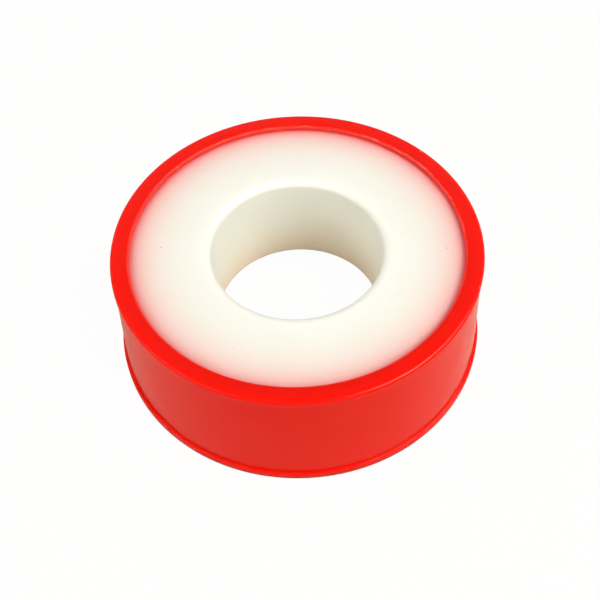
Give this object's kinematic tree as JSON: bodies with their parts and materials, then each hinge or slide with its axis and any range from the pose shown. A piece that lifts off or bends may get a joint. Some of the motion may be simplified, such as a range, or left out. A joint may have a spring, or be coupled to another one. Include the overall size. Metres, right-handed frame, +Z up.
{
  "type": "thread seal tape roll",
  "caption": "Roll of white thread seal tape on a flanged spool with a through bore, closed in by a lipped red cover ring that lifts off to free the tape.",
  "frame": {"origin": "on the bore's axis, in the plane of the cover's open end, which the roll stands on", "axes": "+Z up along the bore, from the cover's open end to its lip; X and Y are any two square directions across the roll"},
  "size_m": [0.0466, 0.0466, 0.0157],
  "materials": {
    "cover_red": "satin",
    "spool_white": "satin",
    "tape_film": "matte"
  },
  "bodies": {
    "spool": {"spool": "spool_white"},
    "cover": {"cover": "cover_red"},
    "tape": {"tape": "tape_film"}
  },
  "joints": [
    {"name": "cover_lift", "type": "slide", "parent": "spool", "child": "cover", "axis": [0, 0, 1], "range_m": [0, 0.018]},
    {"name": "tape_turn", "type": "hinge", "parent": "spool", "child": "tape", "pos_m": [0, 0, 0.0083], "axis": [0, 0, 1], "continuous": true}
  ]
}
